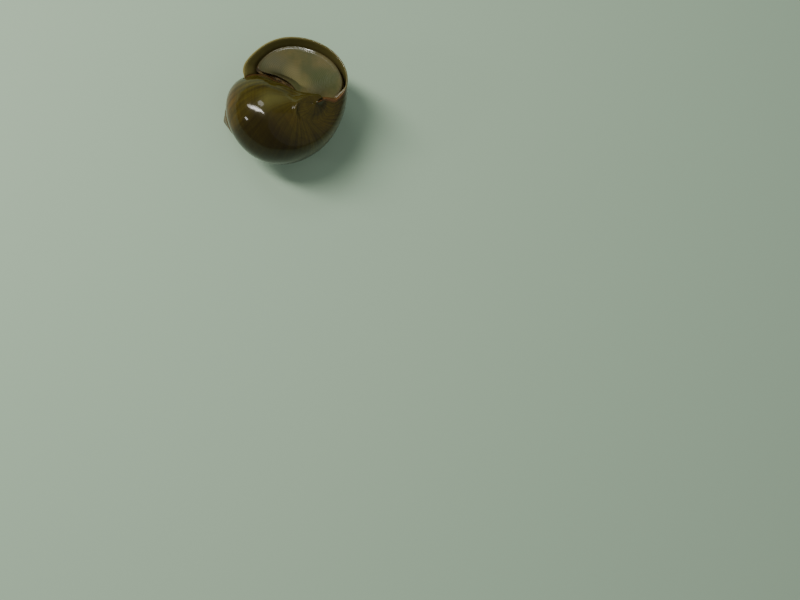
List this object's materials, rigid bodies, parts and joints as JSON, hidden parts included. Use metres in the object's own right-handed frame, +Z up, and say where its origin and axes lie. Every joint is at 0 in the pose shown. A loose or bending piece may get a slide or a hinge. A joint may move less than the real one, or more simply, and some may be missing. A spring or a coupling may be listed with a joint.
{
  "type": "apple snail model",
  "caption": "Life-size apple snail lying on its back, a low-spired rounded shell with a wide mouth closed by an oval operculum.",
  "frame": {"origin": "on the floor under the middle of the bounding box", "axes": "+Z up from the floor on which the shell lies on its back, -Y towards the viewer's side, where the spire points"},
  "size_m": [0.042, 0.0394, 0.0286],
  "materials": {
    "shell": "glossy olive-brown shell skin",
    "spire": "glossy orange-brown shell skin",
    "lip": "glossy pale brown shell edge",
    "operculum": "satin grey-beige plate with growth rings",
    "foot": "wet dark brown flesh"
  },
  "bodies": {
    "root": {"body_whorl": "shell", "penultimate_whorl": "shell", "early_whorls": "spire", "outer_lip": "lip", "inner_lip": "lip", "operculum": "operculum", "foot": "foot"}
  },
  "joints": []
}
